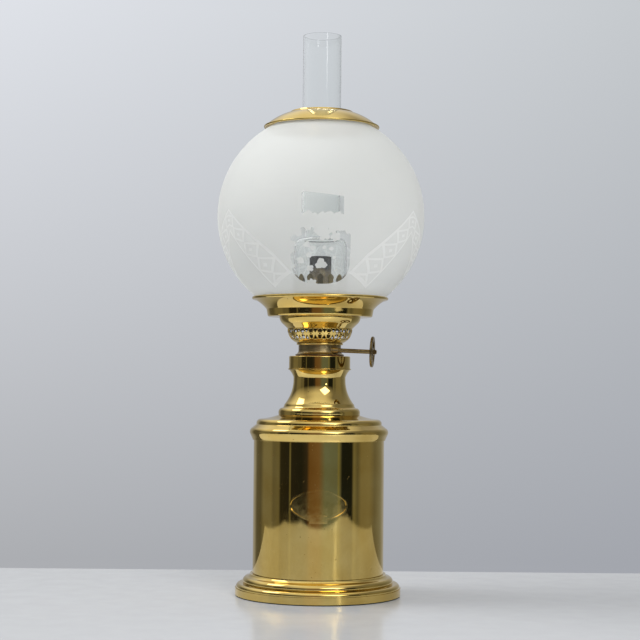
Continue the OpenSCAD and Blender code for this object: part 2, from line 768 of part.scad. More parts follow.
module wick() {
    slot_w = duct_w + 2 * duct_gap;
    color("ivory") rotate([0, 0, -spindle_turn]) difference() {
        tube(wick_r, wick_t, wick_top_z - wick_l, wick_l);
        translate([-slot_w / 2, 0, wick_top_z - wick_l - 1]) cube([slot_w, 2 * wick_r, wick_l + 2]);
    }
}

// Radius of the basket's outer side at a height
function basket_r_at(z) = basket_r - basket_curve_r
    + sqrt(basket_curve_r * basket_curve_r - (z - basket_mid_z) * (z - basket_mid_z));

// Half the basket's section: a round wall between its foot and its top
module basket_wall() {
    low_z = basket_z + basket_foot_h;
    intersection() {
        translate([basket_r - basket_curve_r, basket_mid_z]) difference() {
            circle(basket_curve_r);
            circle(basket_curve_r - basket_t);
        }
        translate([basket_r_at(low_z) - 1.5, low_z])
            square([basket_curve_r, basket_top_z - low_z]);
    }
}

// The openings inside one oval: an arched window, a small eye and a low wedge
module fret_openings() {
    top = basket_top_z - fret_rim_h;
    half = PI * basket_r / (2 * fret_n) - fret_line * 0.75;
    arch_r = 2 * half;
    arch_z = fret_eye_z + fret_sill_up;
    wedge_z = fret_eye_z - fret_wedge_down;
    intersection() {
        translate([-half, arch_z]) square([2 * half, top - arch_z]);
        translate([0, top - arch_r]) circle(arch_r);
    }
    translate([0, fret_eye_z]) circle(fret_eye_r, $fn = 8);
    polygon([[-half, wedge_z - 0.6], [-half + 0.5, wedge_z], [half - 0.5, wedge_z],
        [half, wedge_z - 0.6], [0.35, wedge_z - fret_wedge_h], [-0.35, wedge_z - fret_wedge_h]]);
}

// The two openings between neighbouring ovals, which touch at their middles
module fret_gaps() {
    flank_x = fret_flank_r - 0.3;
    up = fret_eye_drop - 0.7;
    difference() {
        translate([-fret_flank_r / 2, fret_eye_z - fret_gap_down])
            square([fret_flank_r, up + fret_gap_down]);
        for (side = [-1, 1]) translate([side * flank_x, fret_eye_z]) circle(fret_flank_r);
    }
}

module air_basket() {
    low_z = basket_z + basket_foot_h;
    low_r = basket_r_at(low_z);
    lip_r = drum_r - drum_lip_w;
    ledge_r = gallery_in_r - basket_ledge_w;
    top_r = basket_r_at(basket_top_z);
    color("goldenrod") difference() {
        rotate_extrude() union() {
            basket_wall();
            translate([low_r - 0.5, basket_z + basket_foot_h / 2]) circle(basket_foot_h / 2);
            translate([lip_r, basket_z]) square([low_r - 0.5 - lip_r, basket_t]);
            translate([low_r - 1.5, basket_z]) square([1, basket_foot_h]);
            translate([ledge_r, basket_top_z - basket_t])
                square([top_r - basket_t / 2 - ledge_r, basket_t]);
        }
        for (i = [0:fret_n - 1]) {
            through_wall((i + 0.5) * 360 / fret_n, drum_r, basket_r + 2) fret_openings();
            through_wall(i * 360 / fret_n, drum_r, basket_r + 2) fret_gaps();
        }
    }
}

// One spring prong with a leaf-shaped tip
module prong() {
    tip = seat_z + prong_h;
    half = prong_w / 2;
    translate([-half, seat_z - 2]) square([prong_w, prong_h - 3]);
    translate([0, tip - 1.5 * half]) circle(1.25 * half);
    translate([0, tip - 0.6 * half]) circle(0.6 * half);
}

module chimney_gallery() {
    foot_r = gallery_r + holder_foot_gap - 0.4;
    ledge_r = gallery_in_r - seat_w;
    vent_z = basket_top_z + seat_h / 3;
    color("goldenrod") union() {
        difference() {
            turned([[gallery_in_r, basket_top_z], [foot_r, basket_top_z],
                [foot_r, basket_top_z + gallery_t], [gallery_r, basket_top_z + gallery_t],
                [gallery_r, seat_z + 1], [gallery_in_r, seat_z + 1], [gallery_in_r, seat_z],
                [ledge_r, seat_z], [ledge_r, seat_z - gallery_t],
                [gallery_in_r, seat_z - gallery_t]]);
            for (i = [0:vent_n - 1]) through_wall(i * 360 / vent_n, ledge_r, gallery_r + 2)
                translate([0, vent_z]) circle(vent_r);
        }
        intersection() {
            tube(gallery_r, gallery_t, seat_z, prong_h + 1);
            union() {
                for (i = [0:prong_n - 1])
                    through_wall(i * 360 / prong_n, ledge_r, gallery_r + 2) prong();
            }
        }
    }
}

module draught_deck() {
    out_r = gallery_in_r - seam;
    in_r = wick_tube_r + seam;
    margin = deck_pitch / 2;
    color("goldenrod") difference() {
        tube(out_r, out_r - in_r, deck_z, burner_t);
        for (row = [0:deck_rows - 1]) {
            r = in_r + margin + row * (out_r - in_r - 2 * margin) / max(1, deck_rows - 1);
            count = floor(2 * PI * r / deck_pitch);
            for (i = [0:count - 1]) rotate([0, 0, i * 360 / count])
                translate([r, 0, deck_z - 1]) cylinder(r = deck_hole_r, h = burner_t + 2);
        }
    }
}

module raiser_spindle() {
    shoulder_x = spindle_reach - thumb_t / 2;
    color("darkgoldenrod") spindle_frame() union() {
        along_x(spindle_in_x, shoulder_x - spindle_in_x, spindle_r);
        along_x(shoulder_x, thumb_t + nut_t + tip_out, spindle_tip_r);
    }
}

module raiser_wheels() {
    root = feed_r - tooth_h;
    outline = [for (i = [0:tooth_n - 1], k = [0:3])
        let(a = (i + k / 4) * 360 / tooth_n, r = k == 0 || k == 3 ? root : feed_r,
            lean = k == 1 ? 0.08 : k == 2 ? -0.08 : 0)
        r * [cos(a + lean * 360 / tooth_n), sin(a + lean * 360 / tooth_n)]];
    color("darkgoldenrod") spindle_frame() {
        for (side = [-1, 1]) translate([side * feed_gap / 2 - feed_t / 2, 0, 0])
            rotate([0, 90, 0]) linear_extrude(feed_t) difference() {
                polygon(outline);
                circle(spindle_r + seam / 2);
            }
    }
}

module thumbwheel() {
    rim_in_r = thumb_r - thumb_rim_w;
    half = thumb_t / 2;
    color("olive") spindle_frame() translate([spindle_reach, 0, 0]) rotate([0, 90, 0])
        difference() {
            union() {
                turned([[rim_in_r, thumb_edge - half], [rim_in_r + thumb_edge, -half],
                    [thumb_r - thumb_edge, -half], [thumb_r, thumb_edge - half],
                    [thumb_r, half - thumb_edge], [thumb_r - thumb_edge, half],
                    [rim_in_r + thumb_edge, half], [rim_in_r, half - thumb_edge]]);
                translate([0, 0, -half]) cylinder(r = thumb_hub_r, h = thumb_t);
                for (i = [0:spoke_n - 1]) rotate([0, 0, i * 360 / spoke_n])
                    translate([thumb_hub_r / 2, -spoke_w / 2, -thumb_web_t / 2])
                        cube([rim_in_r + 1 - thumb_hub_r / 2, spoke_w, thumb_web_t]);
            }
            translate([0, 0, -thumb_t]) cylinder(r = spindle_tip_r + seam / 2, h = 2 * thumb_t);
        }
}

module thumbwheel_nut() {
    x = spindle_reach + thumb_t / 2;
    color("darkgoldenrod") spindle_frame() difference() {
        intersection() {
            translate([x, -nut_w / 2, -nut_w / 2]) cube([nut_t, nut_w, nut_w]);
            along_x(x, nut_t, nut_w * 0.62);
        }
        along_x(x - 1, nut_t + 2, spindle_tip_r + seam / 2);
    }
}

module holder_cup() {
    foot = [basket_r + 0.1, basket_top_z];
    cone = [foot.x + cup_cone_out, foot.y + cup_cone_h];
    top = [cup_r, ring_z];
    line = concat([[holder_foot_r, basket_top_z], foot, cone], bow(cone, top, cup_swell));
    back = inset(line, holder_t);
    last = len(line) - 1;
    color("gold") turned(concat(line, [[top.x - holder_t, ring_z]],
        [for (i = [1:last]) back[last - i]]));
}

function ring_line() =
    let(floor_end = [ring_r - ring_round, ring_z], wall = [ring_r, ring_z + ring_round])
    let(wall_end = [ring_r + ring_lean, wall.y + ring_wall_h])
    concat([[cup_r - ring_floor_w, ring_z], floor_end], bow(floor_end, wall, 0.29 * ring_round, 6),
        [wall_end], bow(wall_end, [rim_mid_r, rim_z - rim_roll * 0.5], -ring_flare_sag));

module globe_ring() {
    color("gold") rotate_extrude() union() {
        polygon(sheet(ring_line(), holder_t));
        translate([rim_mid_r, rim_z]) circle(rim_roll);
    }
}

// A ball open at the top, with a short straight neck at the bottom
module globe() {
    join_z = fitter_top_z - 0.5;
    color("whitesmoke", 0.6) rotate_extrude() union() {
        intersection() {
            difference() {
                translate([0, globe_z]) circle(globe_r);
                translate([0, globe_z]) circle(globe_in_r);
                translate([0, globe_seat_z]) square([fitter_in_r, globe_z - globe_seat_z]);
            }
            translate([0, join_z]) square([globe_r + 1, globe_top_z - join_z]);
        }
        translate([fitter_in_r, globe_seat_z]) square([glass_t, fitter_h]);
    }
}

function cap_line() =
    let(brim = [cap_r - cap_roll, brim_z], hole = [cap_hole_r + 1, cap_top_z - 1.2])
    concat([brim], bow(brim, hole, cap_swell, 16), [[cap_hole_r + 0.4, cap_top_z]]);

module globe_cap() {
    color("gold") rotate_extrude() union() {
        polygon(sheet(cap_line(), cap_t));
        translate([cap_r - cap_roll, brim_z]) circle(cap_roll);
    }
}

module cap_locating_ring() {
    // Soldered under the cap: its band stops where the cap's underside starts
    line = cap_line();
    color("goldenrod") rotate_extrude() difference() {
        union() {
            translate([locate_r - cap_t, globe_top_z - locate_h])
                square([cap_t, cap_rise + locate_h]);
            translate([locate_r - cap_t, globe_top_z]) square([locate_w + cap_t, cap_t]);
        }
        polygon(concat(inset(line, cap_t + seam), [[0, 2 * cap_top_z], [2 * cap_r, 2 * cap_top_z]]));
    }
}

module chimney() {
    shoulder = [chimney_foot_r, seat_z + chimney_foot_h];
    neck = [chimney_neck_r, shoulder.y + chimney_shoulder_h];
    waist_end = [chimney_r, neck.y + chimney_waist_h];
    line = concat([[chimney_foot_r, seat_z]], [shoulder],
        bow(shoulder, neck, chimney_shoulder_swell, 12), bow(neck, waist_end, -chimney_waist_sag, 14),
        [[chimney_r, seat_z + chimney_l]]);
    color("lightcyan", 0.4) turned(sheet(line, chimney_t));
}

felt_pad();
bottom_plate();
ballast();
foot_moulding();
tank_floor();
tank_cylinder();
oval_plate();
shoulder();
neck_column();
collar();
collar_seal();
burner_base();
spindle_bush();
spindle_end_bearing();
outer_wick_tube();
inner_wick_tube();
air_basket();
chimney_gallery();
draught_deck();
raiser_spindle();
raiser_wheels();
thumbwheel();
thumbwheel_nut();
wick();
holder_cup();
globe_ring();
globe();
globe_cap();
cap_locating_ring();
chimney();
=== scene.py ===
import math
import bmesh
import bpy
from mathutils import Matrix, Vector


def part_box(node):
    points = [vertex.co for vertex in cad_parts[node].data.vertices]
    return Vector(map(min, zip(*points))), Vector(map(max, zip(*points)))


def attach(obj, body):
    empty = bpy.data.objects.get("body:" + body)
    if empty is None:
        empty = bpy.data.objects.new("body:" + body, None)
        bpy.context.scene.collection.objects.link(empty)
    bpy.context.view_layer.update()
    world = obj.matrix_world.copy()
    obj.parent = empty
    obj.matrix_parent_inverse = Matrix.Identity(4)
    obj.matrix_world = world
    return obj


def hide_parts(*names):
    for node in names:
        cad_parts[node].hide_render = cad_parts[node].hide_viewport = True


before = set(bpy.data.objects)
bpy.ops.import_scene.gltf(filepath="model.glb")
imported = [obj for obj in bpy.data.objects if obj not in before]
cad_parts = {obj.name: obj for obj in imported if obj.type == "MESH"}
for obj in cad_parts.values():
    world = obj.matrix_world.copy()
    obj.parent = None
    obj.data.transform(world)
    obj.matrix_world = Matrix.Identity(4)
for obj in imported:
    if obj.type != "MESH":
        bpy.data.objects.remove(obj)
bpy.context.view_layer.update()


# Felt pad, bottom plate and ballast
# A felt disc glued under the foot, a pressed steel disc that closes it, and a cast-iron disc inside that
# gives the tall lamp its weight. Only the felt's edge shows, as a thin dark line.

FELT_DARK = (0.006, 0.010, 0.008, 1.0)
FELT_LIGHT = (0.030, 0.042, 0.034, 1.0)
STEEL_COLOUR = (0.36, 0.36, 0.35, 1.0)
STEEL_SHADE = (0.24, 0.24, 0.24, 1.0)
IRON_COLOUR = (0.055, 0.055, 0.056, 1.0)
IRON_RUST = (0.070, 0.042, 0.028, 1.0)
NOISE_LOW = 0.3
NOISE_HIGH = 0.7
GRAIN_FINER = 8.0
ROUGHNESS_SWING = 0.08


def new_material(name):
    """A material with its node tree and its main shader."""
    material = bpy.data.materials.new(name)
    material.use_nodes = True
    return material, material.node_tree, material.node_tree.nodes["Principled BSDF"]


def add(tree, kind, inputs, **settings):
    """A shader node; each input is a value or the socket that feeds it."""
    made = tree.nodes.new(kind)
    for key, value in settings.items():
        setattr(made, key, value)
    for key, value in inputs.items():
        if isinstance(value, bpy.types.NodeSocket):
            tree.links.new(value, made.inputs[key])
        else:
            made.inputs[key].default_value = value
    return made


def feed(tree, shader, **sockets):
    """Links outputs to the shader's inputs; underscores in a name stand for spaces."""
    for key, socket in sockets.items():
        tree.links.new(socket, shader.inputs[key.replace("_", " ")])


def place(tree):
    """Object coordinates, in metres."""
    return add(tree, "ShaderNodeTexCoord", {}).outputs["Object"]


def noise(tree, vector, scale, detail=3.0, roughness=0.5):
    """Even noise from 0 to 1."""
    inputs = {"Vector": vector, "Scale": scale, "Detail": detail, "Roughness": roughness}
    return add(tree, "ShaderNodeTexNoise", inputs).outputs["Fac"]


def spread(tree, value, low, high, to_low=0.0, to_high=1.0):
    """The value's stretch from low to high, mapped and clamped."""
    inputs = {"Value": value, "From Min": low, "From Max": high, "To Min": to_low, "To Max": to_high}
    return add(tree, "ShaderNodeMapRange", inputs).outputs["Result"]


def maths(tree, operation, *values):
    """One step of arithmetic on sockets and numbers."""
    return add(tree, "ShaderNodeMath", dict(enumerate(values)), operation=operation).outputs[0]


def blend_colours(tree, factor, first, second):
    """A colour between two colours."""
    mixed = add(tree, "ShaderNodeMix", {"Factor": factor}, data_type="RGBA")
    for socket, colour in ((mixed.inputs[6], first), (mixed.inputs[7], second)):
        if isinstance(colour, bpy.types.NodeSocket):
            tree.links.new(colour, socket)
        else:
            socket.default_value = colour
    return mixed.outputs[2]


def bump(tree, height, depth):
    """A bump of that depth in metres."""
    made = add(tree, "ShaderNodeBump", {"Height": height, "Distance": depth, "Strength": 1.0})
    return made.outputs["Normal"]


def mottled(name, colour, shade, scale, roughness, metallic=0.0, depth=0.0):
    """A finish in two tones of noise with a fine bump."""
    material, tree, shader = new_material(name)
    spots = noise(tree, place(tree), scale)
    grain = noise(tree, place(tree), scale * GRAIN_FINER)
    shader.inputs["Metallic"].default_value = metallic
    feed(tree, shader, Base_Color=blend_colours(tree, spots, colour, shade),
         Roughness=spread(tree, grain, NOISE_LOW, NOISE_HIGH,
                          roughness - ROUGHNESS_SWING, roughness + ROUGHNESS_SWING),
         Normal=bump(tree, grain, depth))
    return material


def dress(node, material):
    """Gives a CAD node its finish."""
    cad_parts[node].data.materials[0] = material


felt = mottled("dark green felt", FELT_LIGHT, FELT_DARK, scale=900.0, roughness=0.92, depth=0.0003)
pressed_steel = mottled("pressed sheet steel", STEEL_COLOUR, STEEL_SHADE,
                        scale=60.0, roughness=0.38, metallic=1.0, depth=0.00002)
cast_iron = mottled("rough cast iron", IRON_COLOUR, IRON_RUST,
                    scale=150.0, roughness=0.75, metallic=0.6, depth=0.0004)
dress("felt_pad", felt)
dress("bottom_plate", pressed_steel)
dress("ballast", cast_iron)


# Foot moulding
# The spun brass foot: a band at the bottom, a groove, a round bead, a cove and a second bead, polished and
# lacquered. The felt and the bottom plate close it below, and the tank's cylinder stands up from it.

SPIN_STEPS = 180
CREASE = math.radians(28)
EDGE_ROUND = 0.00025
BRASS_BRIGHT = (0.83, 0.62, 0.215, 1.0)
BRASS_DEEP = (0.74, 0.52, 0.150, 1.0)
BRASS_SPOT = (0.30, 0.17, 0.05, 1.0)
BUFFING_LINES = 2600.0
CLOUDS = 34.0
CLOUD_LOW = 0.35
CLOUD_HIGH = 0.65
SMEARS = 160.0
SMEAR_LOW = 0.35
SMEAR_HIGH = 0.7
SPECKS = 420.0
SPECK_START = 0.735
SPECK_FULL = 0.765
SAME_POINT = 1e-6
SAME_SPUN_POINT = 1e-7
SEAM_HALF = 2e-6


def polished(name, bright, deep, smoothest, roughest, line_depth):
    """Brass with buffing lines round the axis, cloudy lacquer and a few dark specks."""
    material, tree, shader = new_material(name)
    where = place(tree)
    split = add(tree, "ShaderNodeSeparateXYZ", {"Vector": where})
    flat = add(tree, "ShaderNodeCombineXYZ", {"X": split.outputs["X"], "Y": split.outputs["Y"]})
    radius = add(tree, "ShaderNodeVectorMath", {0: flat.outputs["Vector"]}, operation="LENGTH")
    around = add(tree, "ShaderNodeCombineXYZ", {"X": radius.outputs["Value"], "Z": split.outputs["Z"]})
    lines = noise(tree, around.outputs["Vector"], BUFFING_LINES, detail=2.0)
    clouds = noise(tree, where, CLOUDS, detail=4.0)
    smears = noise(tree, where, SMEARS, detail=5.0, roughness=0.6)
    specks = spread(tree, noise(tree, where, SPECKS, detail=2.0), SPECK_START, SPECK_FULL)
    tone = blend_colours(tree, spread(tree, clouds, CLOUD_LOW, CLOUD_HIGH), bright, deep)
    rough = maths(tree, "ADD", spread(tree, smears, SMEAR_LOW, SMEAR_HIGH, smoothest, roughest), specks)
    shader.inputs["Metallic"].default_value = 1.0
    feed(tree, shader, Base_Color=blend_colours(tree, specks, tone, BRASS_SPOT),
         Roughness=rough, Normal=bump(tree, lines, line_depth))
    return material


def merged(node):
    """A mesh in the making from a CAD node's loose triangles."""
    bm = bmesh.new()
    bm.from_mesh(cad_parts[node].data)
    bmesh.ops.remove_doubles(bm, verts=bm.verts, dist=SAME_POINT)
    return bm


def outline_of(node):
    """The node's half outline, which lies at +X on its seam."""
    source = merged(node)
    bm = bmesh.new()
    copies = {}
    for edge in source.edges:
        if all(abs(vert.co.y) < SEAM_HALF and vert.co.x > 0.0 for vert in edge.verts):
            for vert in edge.verts:
                if vert not in copies:
                    copies[vert] = bm.verts.new(vert.co)
            bm.edges.new([copies[vert] for vert in edge.verts])
    source.free()
    return bm


def spun(bm, steps):
    """Spins an outline a full turn about the lamp's axis."""
    bmesh.ops.spin(bm, geom=bm.verts[:] + bm.edges[:], cent=(0, 0, 0), axis=(0, 0, 1),
                   angle=math.tau, steps=steps, use_merge=True, use_duplicate=False)
    bmesh.ops.remove_doubles(bm, verts=bm.verts, dist=SAME_SPUN_POINT)
    bmesh.ops.recalc_face_normals(bm, faces=bm.faces)


def shade(bm):
    """Smooth faces, with hard edges where the surface turns sharply."""
    for face in bm.faces:
        face.smooth = True
    for edge in bm.edges:
        edge.smooth = len(edge.link_faces) != 2 or edge.calc_face_angle() < CREASE


def piece(name, bm, material, body, slot, *nodes):
    """Makes the object, which stands for those CAD nodes and moves with that body."""
    mesh = bpy.data.meshes.new(name)
    bm.to_mesh(mesh)
    bm.free()
    mesh.materials.append(material)
    ob = bpy.data.objects.new(name, mesh)
    bpy.context.scene.collection.objects.link(ob)
    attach(ob, body)
    if nodes:
        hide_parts(*nodes)
    return ob


def soften_edges(ob, width=EDGE_ROUND):
    """Rounds the sharp edges a little, as spinning and polishing do."""
    rounding = ob.modifiers.new("rounded edges", "BEVEL")
    rounding.width = width
    rounding.segments = 2
    rounding.limit_method = "ANGLE"
    rounding.angle_limit = CREASE
    rounding.harden_normals = True


def spun_brass(name, node, material, body, slot="polished_brass", steps=SPIN_STEPS):
    """A spun brass piece in place of a CAD node."""
    bm = outline_of(node)
    spun(bm, steps)
    shade(bm)
    soften_edges(piece(name, bm, material, body, slot, node))


def smooth_copy(name, node, material, body, slot):
    """A merged, smooth-shaded piece in place of a CAD node."""
    bm = merged(node)
    shade(bm)
    return piece(name, bm, material, body, slot, node)


mirror_brass = polished("polished brass", BRASS_BRIGHT, BRASS_DEEP,
                        smoothest=0.025, roughest=0.06, line_depth=0.0000012)
spun_brass("brass_foot", "foot_moulding", mirror_brass, "base")


# Tank
# A drawn brass tube with a dished floor soldered in. The tube is polished like the foot; the floor, which
# no side shows, is satin.

SATIN_BRIGHT = (0.62, 0.46, 0.19, 1.0)
SATIN_DEEP = (0.45, 0.31, 0.11, 1.0)
TANK_STEPS = 240
satin_brass = polished("satin brass", SATIN_BRIGHT, SATIN_DEEP,
                       smoothest=0.24, roughest=0.38, line_depth=0.000006)
spun_brass("brass_tank", "tank_cylinder", mirror_brass, "base", steps=TANK_STEPS)
dress("tank_floor", satin_brass)


# Oval plate
# A small brass plate soldered to the tank's front, with a raised rim and a tab below. It is brushed, and a
# little less bright than the tank.

PLATE_EDGE_ROUND = 0.00055
plate_brass = polished("brushed brass of the plate", BRASS_BRIGHT, BRASS_DEEP,
                       smoothest=0.07, roughest=0.13, line_depth=0.000003)
plate = smooth_copy("bare_oval_plate", "oval_plate", plate_brass, "base", "polished_brass")
soften_edges(plate, PLATE_EDGE_ROUND)


# Shoulder and neck
# Two spun brass pieces, soldered one on the other: two round steps that close the tank, then a waisted
# column with a thin flange.

spun_brass("brass_shoulder", "shoulder", mirror_brass, "base")
spun_brass("brass_neck", "neck_column", mirror_brass, "base")


# Collar and seal
# The brass ring that the burner screws into, with a red-brown fibre washer on top that seals it.
# Only the ring shows.

FIBRE_COLOUR = (0.13, 0.040, 0.022, 1.0)
FIBRE_SHADE = (0.08, 0.025, 0.015, 1.0)
fibre = mottled("red-brown fibre", FIBRE_COLOUR, FIBRE_SHADE, scale=300.0, roughness=0.7, depth=0.00005)
spun_brass("brass_collar", "collar", mirror_brass, "base")
dress("collar_seal", fibre)


# Burner base
# A turned plug, flange and small drum, with the bush that guides the spindle and the bearing opposite.
# The heat of the flame has left the brass of the burner brownish and matt.

WARM_BRIGHT = (0.44, 0.34, 0.175, 1.0)
WARM_DEEP = (0.31, 0.23, 0.11, 1.0)
warm_brass = polished("heat-browned brass", WARM_BRIGHT, WARM_DEEP,
                      smoothest=0.30, roughest=0.42, line_depth=0.00001)
smooth_copy("burner_body", "burner_base", warm_brass, "burner", "plain_brass")
smooth_copy("spindle_guide", "spindle_bush", warm_brass, "burner", "plain_brass")
smooth_copy("spindle_bearing", "spindle_end_bearing", warm_brass, "burner", "plain_brass")


# Wick tubes and wick
# Two brass tubes, one in the other, with the round cotton wick between them. The tubes' tops are dark with
# soot, and the wick's edge is charred.

COTTON = (0.74, 0.70, 0.61, 1.0)
COTTON_SHADE = (0.55, 0.50, 0.41, 1.0)
SOOT = (0.020, 0.018, 0.017, 1.0)
SOOT_ROUGHNESS = 0.75
TUBE_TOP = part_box("outer_wick_tube")[1].z
SOOT_REACH = 0.016
CHAR_REACH = 0.004
SOOT_CLOUDS = 160.0
SOOT_FULL_SHARE = 0.1


def add_soot(material, reach):
    """Lays soot over a finish; it fades downwards from the top of the wick tube, with a cloudy edge."""
    tree = material.node_tree
    shader = tree.nodes["Principled BSDF"]
    where = place(tree)
    height = add(tree, "ShaderNodeSeparateXYZ", {"Vector": where}).outputs["Z"]
    cloudy = noise(tree, where, SOOT_CLOUDS, detail=4.0)
    ragged = maths(tree, "MULTIPLY_ADD", cloudy, reach, height)
    strength = spread(tree, ragged, TUBE_TOP - reach, TUBE_TOP - reach * SOOT_FULL_SHARE)
    clean = shader.inputs["Base Color"].links[0].from_socket
    rough = shader.inputs["Roughness"].links[0].from_socket
    feed(tree, shader, Base_Color=blend_colours(tree, strength, clean, SOOT),
         Roughness=maths(tree, "MAXIMUM", rough, maths(tree, "MULTIPLY", strength, SOOT_ROUGHNESS)))


tube_brass = polished("sooted brass", WARM_BRIGHT, WARM_DEEP,
                      smoothest=0.26, roughest=0.40, line_depth=0.000006)
add_soot(tube_brass, SOOT_REACH)
cotton = mottled("woven cotton", COTTON, COTTON_SHADE, scale=700.0, roughness=0.9, depth=0.0003)
add_soot(cotton, CHAR_REACH)
smooth_copy("outer_tube", "outer_wick_tube", tube_brass, "burner", "plain_brass")
smooth_copy("inner_tube", "inner_wick_tube", tube_brass, "burner", "plain_brass")
smooth_copy("round_wick", "wick", cotton, "wick_body", "cotton")


# Air basket, gallery and draught deck
# The pierced bowl that lets the air in, the ring of spring prongs that holds the chimney, and the deck that
# spreads the air. The bowl is polished outside; inside, and on the ledge at its top, it is painted a dark
# brown as painted shade, which sets off the fretwork.

# Painted shade: a near-black brown for the inside of the bowl and its ledge, where the shade falls.
BASKET_INSIDE_SHADE = (0.045, 0.036, 0.022, 1.0)
INSIDE_SHADE_SMOOTHEST = 0.4
INSIDE_SHADE_ROUGHEST = 0.5
GALLERY_BRIGHT = (0.26, 0.21, 0.105, 1.0)
GALLERY_DEEP = (0.13, 0.11, 0.055, 1.0)
BASKET_LOW, BASKET_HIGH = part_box("air_basket")
BASKET_WALL = 0.0007
CURVE_RADIUS = 0.015
CURVE_DROP = 0.0005
WIDEST_RADIUS = BASKET_HIGH.x
CURVE_LEVEL = BASKET_HIGH.z - CURVE_DROP
BEAD_HEIGHT = 0.002
BASKET_LIP = 0.0174
LEDGE_RADIUS = 0.0246
FRET_OVALS = 22
FRET_COLUMNS = 24
FRET_ROWS = 38
# One oval of the fretwork, in millimetres; the openings' heights are counted from its eye.
EYE_DROP = 5.7
EYE_RADIUS = 0.75
BRIDGE_HALF = 1.3
OPENING_TOP = 4.8
OPENING_FOOT = -5.2
GAP_SPREAD = 0.52
GAP_START = 1.0
STRAP = 1.35
WINDOW_WIDEST = 1.9
WINDOW_SHORTER = 0.3
# How the grid's points are brought onto the openings' outlines.
OUTLINE_ROUNDS = 4
SLOPE_STEP = 0.01
SLOPE_LEAST = 0.3
CUT_ABOVE = 0.5
CUT_BELOW = 1.0
SIDE_CLEAR = 1e-4


def basket_radius(level):
    """The bowl's outer radius at a level, on its round curve."""
    return WIDEST_RADIUS - CURVE_RADIUS + math.sqrt(CURVE_RADIUS ** 2 - (level - CURVE_LEVEL) ** 2)


def fret_depth(across, up):
    """How far inside the nearest opening of one oval, or of the half gaps beside it, a point lies, in
    millimetres from the oval's eye; less than nothing on the brass."""
    half_step = math.pi * WIDEST_RADIUS * 1000 / FRET_OVALS
    gap = GAP_SPREAD * (abs(up) - GAP_START)
    from_gap_middle = half_step - abs(across)
    window = min(WINDOW_WIDEST, half_step - max(gap, 0.0) - STRAP) - abs(across)
    ends = min(OPENING_TOP - up, up - OPENING_FOOT)
    return max(min(gap - from_gap_middle, ends),
               min(window, abs(up) - BRIDGE_HALF, ends - WINDOW_SHORTER),
               EYE_RADIUS - math.hypot(across, up))


def fret_slope(across, up):
    """How fast that depth grows across and up."""
    across_slope = fret_depth(across + SLOPE_STEP, up) - fret_depth(across - SLOPE_STEP, up)
    up_slope = fret_depth(across, up + SLOPE_STEP) - fret_depth(across, up - SLOPE_STEP)
    return Vector((across_slope / (2 * SLOPE_STEP), up_slope / (2 * SLOPE_STEP)))


def on_outline(across, up, held):
    """The place on an opening's outline next to a point; held keeps the point on its oval's side."""
    for _ in range(OUTLINE_ROUNDS):
        slope = fret_slope(across, up)
        if held:
            slope.x = 0.0
        if slope.length < SLOPE_LEAST:
            break
        move = slope * (-fret_depth(across, up) / slope.length_squared)
        across, up = across + move.x, up + move.y
    return across, up


def is_cut(vert, side):
    """True on the cut edge of an opening, and not on the grid's own sides or ends."""
    if not OPENING_FOOT - CUT_BELOW < vert.co.y < OPENING_TOP + CUT_ABOVE:
        return False
    return any(len(edge.link_faces) == 1 and abs(sum(end.co.x for end in edge.verts)) < 2 * side
               for edge in vert.link_edges)


def pierced_wall():
    """The bowl's wall: one oval's stretch as a fine grid, with its openings cut out, curved and repeated."""
    bm = bmesh.new()
    bmesh.ops.create_grid(bm, x_segments=FRET_COLUMNS, y_segments=FRET_ROWS, size=0.5)
    step = math.tau * WIDEST_RADIUS * 1000 / FRET_OVALS
    low = BASKET_LOW.z + BEAD_HEIGHT
    height = (BASKET_HIGH.z - low) * 1000
    below_eye = height - EYE_DROP
    for vert in bm.verts:
        vert.co = (vert.co.x * step, (vert.co.y + 0.5) * height - below_eye, 0)
    cut = [face for face in bm.faces if fret_depth(*face.calc_center_median().xy) > 0]
    bmesh.ops.delete(bm, geom=cut, context="FACES")
    side = step / 2 - SIDE_CLEAR
    for vert in bm.verts:
        if is_cut(vert, side):
            vert.co.xy = on_outline(*vert.co.xy, held=abs(vert.co.x) > side)
    for vert in bm.verts:
        angle = vert.co.x / (WIDEST_RADIUS * 1000)
        level = low + (vert.co.y + below_eye) / 1000
        radius = basket_radius(level)
        vert.co = (radius * math.sin(angle), -radius * math.cos(angle), level)
    bmesh.ops.spin(bm, geom=bm.verts[:] + bm.edges[:] + bm.faces[:], cent=(0, 0, 0), axis=(0, 0, 1),
                   angle=math.tau * (FRET_OVALS - 1) / FRET_OVALS, steps=FRET_OVALS - 1,
                   use_duplicate=True)
    bmesh.ops.remove_doubles(bm, verts=bm.verts, dist=SAME_POINT)
    bm.faces.ensure_lookup_table()
    face = bm.faces[0]
    if face.normal.dot(face.calc_center_median() * Vector((1, 1, 0))) < 0:
        bmesh.ops.reverse_faces(bm, faces=bm.faces)
    return bm


fretwork = pierced_wall()
shade(fretwork)
# The bowl's inside gets the painted shade, so its openings look dark.
painted_inside_shade = polished("painted shade inside the basket", BASKET_INSIDE_SHADE, BASKET_INSIDE_SHADE,
                         INSIDE_SHADE_SMOOTHEST, INSIDE_SHADE_ROUGHEST, line_depth=0.000006)
basket = piece("pierced_basket", fretwork, mirror_brass, "burner", "polished_brass", "air_basket")
basket.data.materials.append(painted_inside_shade)
wall = basket.modifiers.new("sheet thickness", "SOLIDIFY")
wall.thickness = BASKET_WALL
wall.offset = -1.0
wall.material_offset = 1


def ring(name, corners, material, body, slot):
    """A ring spun from a closed outline of radius and level."""
    bm = bmesh.new()
    verts = [bm.verts.new((radius, 0, level)) for radius, level in corners]
    for start, end in zip(verts, verts[1:] + verts[:1]):
        bm.edges.new((start, end))
    spun(bm, SPIN_STEPS)
    shade(bm)
    piece(name, bm, material, body, slot)


